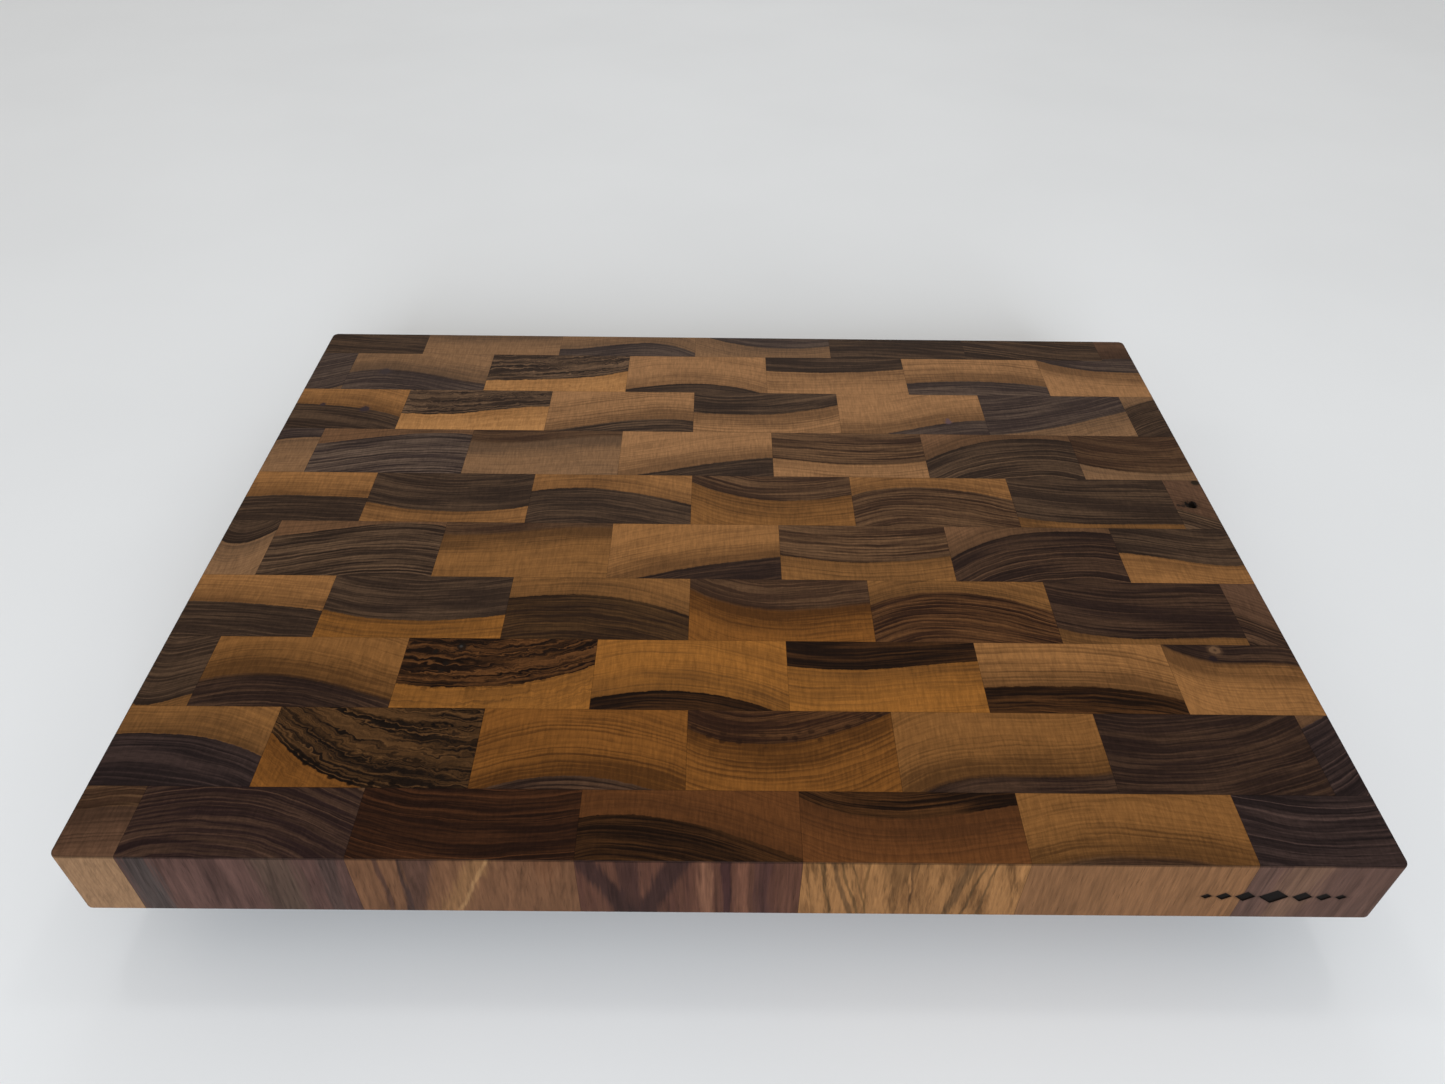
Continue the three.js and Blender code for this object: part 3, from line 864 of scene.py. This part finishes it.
def block_bmesh(low, high):
    """An upright block whose outside rims are eased and whose outside corners are round."""
    outside = outside_sides(low, high)
    if any(outside.values()):
        turns = [math.pi / 2 * step / EASE_STEPS for step in range(EASE_STEPS + 1)]
        rims = [(RIM_EASE * (1 - math.sin(turn)), RIM_EASE * (1 - math.cos(turn))) for turn in turns]
    else:
        rims = [(0.0, 0.0)]
    levels = [(inset, low.z + rise) for inset, rise in rims]
    levels += [(inset, high.z - rise) for inset, rise in reversed(rims)]
    bm = bmesh.new()
    rings = []
    for inset, height in levels:
        plan = block_outline(low, high, outside, inset)
        rings.append([bm.verts.new((x, y, height)) for x, y in plan])
    skin(bm, rings, smooth=True)
    return capped(bm, rings)


def block_boxes():
    """(bar, block, low, high, the CAD node that it stands for), in millimetres, for every block."""
    for bar in range(1, BARS + 1):
        for block in range(1, BLOCKS_PER_BAR + 1):
            whole_bar = bar > FRONT_BLOCK_BARS
            node = f"bar_{bar}" if whole_bar else f"bar_{bar}_block_{block}"
            low, high = (Vector(corner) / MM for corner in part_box(node))
            if whole_bar:
                first, length = REAR_SEAMS[bar]
                if block > 1:
                    low.x = first + (block - 2) * length
                if block < BLOCKS_PER_BAR:
                    high.x = first + (block - 1) * length
            yield bar, block, low, high, node


def cut_away(piece, cutters):
    """Cuts the cutters' shapes out of the piece, and deletes them."""
    for cutter in cutters:
        modifier = piece.modifiers.new(cutter.name, "BOOLEAN")
        modifier.operation = "DIFFERENCE"
        modifier.solver = "EXACT"
        modifier.object = cutter
    whole = piece.data
    name = whole.name
    seen = piece.evaluated_get(bpy.context.evaluated_depsgraph_get())
    cut = bpy.data.meshes.new_from_object(seen)
    piece.modifiers.clear()
    piece.data = cut
    bpy.data.meshes.remove(whole)
    cut.name = name
    cut.set_sharp_from_angle(angle=math.radians(SHARP_DEGREES))
    for cutter in cutters:
        bpy.data.meshes.remove(cutter.data)


def revolve(profile, place, steps):
    """The wall of a turned solid round an upright axis, and its rings of corners. A radius may be
    a function of the angle."""
    bm = bmesh.new()
    rings = []
    for radius, height in profile:
        ring = []
        for step in range(steps):
            angle = 2 * math.pi * step / steps
            reach = radius(angle) if callable(radius) else radius
            ring.append(bm.verts.new((
                place.x + reach * math.cos(angle), place.y + reach * math.sin(angle), height,
            )))
        rings.append(ring)
    skin(bm, rings, smooth=True)
    return bm, rings


def ornament_cutters():
    """Tapered lozenge plugs that cut the burnt ornament's pockets."""
    front = BOARD_LOW.y
    cutters = []
    for number, (centre, length, height) in enumerate(LOZENGES):
        bm = bmesh.new()
        rings = []
        for depth, grow in ((-1.0, 0.5), (0.0, 0.0), (ORNAMENT_DEPTH, -0.25)):
            half_x, half_z = length / 2 + grow, height / 2 + grow * height / length
            tips = [Vector(tip) for tip in ((half_x, 0), (0, half_z), (-half_x, 0), (0, -half_z))]
            ring = []
            for i, tip in enumerate(tips):
                before = tip.lerp(tips[i - 1], TIP_ROUND / length)
                after = tip.lerp(tips[(i + 1) % 4], TIP_ROUND / length)
                for t in (0.0, 0.25, 0.5, 0.75, 1.0):
                    point = before.lerp(tip, t).lerp(tip.lerp(after, t), t)
                    ring.append(bm.verts.new((centre + point.x, front + depth, ORNAMENT_Z + point.y)))
            rings.append(ring)
        skin(bm, rings)
        cutters.append(finish_mesh(f"ornament_cutter_{number}", capped(bm, rings)))
    return cutters


def knot_hole_cutter(x, y, radius, depth):
    """An uneven pit in the top, wider at its mouth."""
    place = Vector((x, y, 0))

    def uneven(size):
        return lambda angle: size * (1 + 0.32 * math.sin(2 * angle - 1.9) + 0.07 * math.sin(5 * angle))

    top = BOARD_HIGH.z
    profile = [
        (uneven(radius * 0.25), top - depth),
        (uneven(radius * 0.7), top - depth * 0.8),
        (uneven(radius * 0.92), top - depth * 0.3),
        (uneven(radius), top),
        (uneven(radius * 1.02), top + 1.0),
    ]
    bm, rings = revolve(profile, place, KNOT_HOLE_STEPS)
    return finish_mesh("knot_cutter", capped(bm, rings))


def z_range(node):
    """The lowest and highest Z of a CAD node, in millimetres."""
    low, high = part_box(node)
    return low[2] / MM, high[2] / MM


def pilot_hole_cutter(x, y):
    """The hole in a block that a foot's screw goes up into."""
    tip = z_range("screw_front_left")[1]
    profile = [(PILOT_RADIUS, BOARD_LOW.z - 1.0), (PILOT_RADIUS, tip + 1.0)]
    bm, rings = revolve(profile, Vector((x, y, 0)), PILOT_STEPS)
    return finish_mesh("pilot_cutter", capped(bm, rings))


def make_blocks():
    for bar, block, low, high, node in block_boxes():
        material = walnut_material(bar, block, low, high)
        piece = finish_mesh(f"walnut_{bar}_{block}", block_bmesh(low, high), material)
        cutters = []
        if (bar, block) in ORNAMENT_BLOCKS:
            cutters += ornament_cutters()
        if (bar, block) == KNOT_HOLE_BLOCK:
            cutters.append(knot_hole_cutter(*KNOT_HOLE))
        for x, y in FEET.values():
            if low.x < x < high.x and low.y < y < high.y:
                cutters.append(pilot_hole_cutter(x, y))
        if cutters:
            cut_away(piece, cutters)
        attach(piece, "root")
        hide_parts(node)


# ---------- Feet, washers and screws ----------

FOOT_STEPS = 96
WASHER_STEPS = 48


def arc(centre_radius, centre_height, radius, start, end, steps=5):
    """Profile points on a quarter or other arc, its angles in degrees."""
    angles = [math.radians(start + (end - start) * step / steps) for step in range(steps + 1)]
    return [
        (centre_radius + radius * math.cos(a), centre_height + radius * math.sin(a)) for a in angles
    ]


def ring_solid(name, profile, place, steps, material):
    """A turned solid with a hole through it: its profile closes on itself."""
    bm, rings = revolve(profile, place, steps)
    skin(bm, [rings[-1], rings[0]], smooth=True)
    return finish_mesh(name, bm, material)


def foot_profile():
    """Moulded foot: grooved base, rounded lips, counterbore and screw hole."""
    base = FOOT_BASE_RADIUS - FOOT_BASE_ROUND
    profile = arc(COUNTERBORE_RADIUS + LIP, LIP, LIP, 180, 270)
    for groove in BASE_GROOVES:
        profile += [
            (groove - GROOVE_WIDTH / 2, 0.0),
            (groove - GROOVE_WIDTH / 4, GROOVE_DEPTH),
            (groove + GROOVE_WIDTH / 4, GROOVE_DEPTH),
            (groove + GROOVE_WIDTH / 2, 0.0),
        ]
    profile += arc(base, FOOT_BASE_ROUND, FOOT_BASE_ROUND, -90, 0, 8)
    profile += arc(FOOT_TOP_RADIUS - LIP, BOARD_LOW.z - LIP, LIP, 0, 90)
    profile += [
        (SCREW_HOLE_RADIUS, BOARD_LOW.z),
        (SCREW_HOLE_RADIUS, COUNTERBORE_DEPTH),
        (COUNTERBORE_RADIUS, COUNTERBORE_DEPTH),
    ]
    return profile


def washer_profile(seat, top):
    """Punched washer: rolled upper edge, sharp lower one."""
    edge = 0.35
    return [
        (SCREW_HOLE_RADIUS + 0.1, seat + edge),
        (SCREW_HOLE_RADIUS + 0.25, seat),
        (WASHER_RADIUS - edge, seat),
        (WASHER_RADIUS - edge * 0.3, seat + edge * 0.3),
        (WASHER_RADIUS, seat + edge),
        (WASHER_RADIUS, top),
        (SCREW_HOLE_RADIUS + 0.1, top),
    ]


def screw_profile(head, seat, tip):
    """Pan head downwards, then a threaded shank that runs to a point."""
    profile = [(SCREW_HEAD_RADIUS * 0.45, head)]
    profile += [
        (SCREW_HEAD_RADIUS * math.sin(math.radians(turn)) ** 0.75,
         head + (seat - head) * 0.55 * (1 - math.cos(math.radians(turn))))
        for turn in (30, 45, 60, 75, 90)
    ]
    profile += [(SCREW_HEAD_RADIUS, seat - 0.25), (SCREW_HEAD_RADIUS - 0.2, seat), (SCREW_RADIUS, seat)]
    start = seat + PLAIN_SHANK
    rows = int((tip - start) / (THREAD_PITCH / ROWS_PER_TURN))
    for row in range(rows):
        height = start + row * THREAD_PITCH / ROWS_PER_TURN
        taper = min(1.0, (tip - height) / SCREW_TIP_LENGTH)

        def reach(angle, height=height, taper=taper):
            turn = (height / THREAD_PITCH - angle / (2 * math.pi)) % 1.0
            ridge = max(0.0, 1.0 - abs(turn - 0.5) / THREAD_HALF_WIDTH)
            return (SCREW_ROOT_RADIUS + (SCREW_RADIUS - SCREW_ROOT_RADIUS) * ridge) * taper

        profile.append((reach, height))
    profile.append((0.08, tip))
    return profile


def recess_cutters(place, head):
    """Two crossed tapered blades that cut the screw's recess."""
    cutters = []
    for number, turn in enumerate((0.0, math.pi / 2)):
        bm = bmesh.new()
        rings = []
        for height, share in ((head - 1.0, 1.1), (head + RECESS_DEPTH, 0.45)):
            ring = []
            for side_x, side_y in ((-1, -1), (1, -1), (1, 1), (-1, 1)):
                x = side_x * share * RECESS_LENGTH / 2
                y = side_y * RECESS_WIDTH / 2 * (0.8 + 0.2 * share)
                ring.append(bm.verts.new((
                    place.x + x * math.cos(turn) - y * math.sin(turn),
                    place.y + x * math.sin(turn) + y * math.cos(turn),
                    height,
                )))
            rings.append(ring)
        skin(bm, rings)
        cutters.append(finish_mesh(f"recess_cutter_{number}", capped(bm, rings)))
    return cutters


def rubber_material():
    """Black moulded rubber: fine mottle, a dusty bloom and a rubbed base."""
    material, n, shader = new_material("rubber")
    place = n.metres()
    bloom = n.noise(place, scale=55.0, detail=4.0)
    grit = n.noise(place, scale=1400.0, detail=2.0)
    height = n.split(place)[2]
    rubbed = n.inverse(n.step(n.plus(height, n.times(bloom, 0.002)), 0.0005, 0.006))
    colour = n.mix(n.step(bloom, -0.6, 0.8), linear("1b1b1c"), linear("262627"))
    colour = n.mix(n.times(rubbed, 0.55), colour, linear("3b3a38"))
    colour = n.mix(n.times(n.step(grit, 0.2, 0.7), 0.25), colour, linear("33322f"))
    roughness = n.gain(bloom, 0.08, 0.72)
    looks = {"Base Color": colour, "Roughness": roughness, "Normal": n.bump(grit, 0.35, 0.0001)}
    n.link(looks, shader.inputs)
    return material


def zinc_material(name, light, dark, roughness):
    """Zinc plate: passivated patches, fine turning marks and dull spots."""
    material, n, shader = new_material(name)
    place = n.metres()
    patches = n.noise(place, scale=420.0, detail=3.0)
    marks = n.noise(n.vector("MULTIPLY", place, (900.0, 900.0, 5200.0)), detail=2.0)
    colour = n.mix(n.step(patches, -0.5, 0.6), linear(dark), linear(light))
    spots = n.step(n.noise(place, scale=1700.0, detail=1.0), 0.35, 0.6)
    colour = n.mix(n.times(spots, 0.35), colour, linear("6d6a63"))
    uneven = n.plus(n.gain(patches, 0.10, roughness), n.times(spots, 0.2))
    looks = {"Base Color": colour, "Roughness": uneven, "Normal": n.bump(marks, 0.25, 0.00003)}
    n.link(looks, shader.inputs)
    shader.inputs["Metallic"].default_value = 1.0
    return material


def make_feet():
    rubber = rubber_material()
    washer_zinc = zinc_material("washer_zinc", "c3c5c6", "a5a69f", 0.34)
    screw_zinc = zinc_material("screw_zinc", "b7b8b4", "8f8e86", 0.30)
    for corner, (x, y) in FEET.items():
        place = Vector((x, y, 0.0))
        head, tip = z_range(f"screw_{corner}")
        seat, washer_top = z_range(f"washer_{corner}")
        foot = ring_solid(f"rubber_foot_{corner}", foot_profile(), place, FOOT_STEPS, rubber)
        profile = washer_profile(seat, washer_top)
        washer = ring_solid(f"zinc_washer_{corner}", profile, place, WASHER_STEPS, washer_zinc)
        bm, rings = revolve(screw_profile(head, seat, tip), place, SCREW_STEPS)
        screw = finish_mesh(f"zinc_screw_{corner}", capped(bm, rings), screw_zinc)
        cut_away(screw, recess_cutters(place, head))
        made = {"foot": foot, "washer": washer, "screw": screw}
        for kind, piece in made.items():
            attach(piece, "root")
            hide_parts(f"{kind}_{corner}")


# ---------- Studio ----------

FLOOR_HEIGHT = -0.00005  # metres: clear of the feet's flat bases
FLOOR_REACH = 15.0  # metres, from its middle to each side


def make_floor():
    bm = bmesh.new()
    bmesh.ops.create_grid(bm, x_segments=2, y_segments=2, size=FLOOR_REACH)
    mesh = bpy.data.meshes.new("floor")
    bm.to_mesh(mesh)
    bm.free()
    floor = bpy.data.objects.new("floor", mesh)
    floor.location.z = FLOOR_HEIGHT
    bpy.context.scene.collection.objects.link(floor)
    material, n, shader = new_material("floor")
    cloud = n.noise(n.metres(), scale=3.0, detail=3.0)
    colour = n.mix(n.step(cloud, -0.6, 0.8), linear("e6e8ea"), linear("e1e3e5"))
    n.link({"Base Color": colour}, shader.inputs)
    shader.inputs["Roughness"].default_value = 0.7
    shader.inputs["Specular IOR Level"].default_value = 0.2
    mesh.materials.append(material)


# Each softbox: where it stands, in metres, its side, its power in watts and its colour
SOFTBOXES = {
    "ceiling_left": ((-0.72, 0.52, 2.2), 0.22, 2.2, (1.0, 0.98, 0.94)),
    "ceiling_right": ((0.76, 0.52, 2.2), 0.22, 2.2, (1.0, 0.98, 0.94)),
    "left": ((-2.2, 0.1, 2.0), 0.8, 3.4, (1.0, 0.97, 0.92)),
    "right": ((2.2, 0.1, 2.0), 0.8, 2.4, (0.96, 0.98, 1.0)),
    "front": ((0.2, -3.0, 1.1), 1.4, 101.0, (0.95, 1.0, 1.06)),
    "rear": ((0.0, 3.0, 2.2), 2.0, 15.5, (0.96, 1.0, 1.03)),
}
ROOM_COLOUR = (1.0, 0.97, 0.93, 1.0)
ROOM_STRENGTH = 0.51
LIT_POINT = (0.0, 0.0, 0.05)


def make_light():
    scene = bpy.context.scene
    scene.view_settings.view_transform = "Standard"
    world = bpy.data.worlds.new("studio")
    scene.world = world
    world.use_nodes = True
    background = world.node_tree.nodes["Background"]
    background.inputs["Color"].default_value = ROOM_COLOUR
    background.inputs["Strength"].default_value = ROOM_STRENGTH
    for name, (place, side, power, colour) in SOFTBOXES.items():
        light = bpy.data.lights.new(name, "AREA")
        light.shape = "SQUARE"
        light.size = side
        light.energy = power
        light.color = colour
        lamp = bpy.data.objects.new(name, light)
        bpy.context.scene.collection.objects.link(lamp)
        lamp.location = place
        towards = Vector(LIT_POINT) - Vector(place)
        lamp.rotation_euler = towards.to_track_quat("-Z", "Y").to_euler()


make_camera()
make_blocks()
make_feet()
make_floor()
make_light()
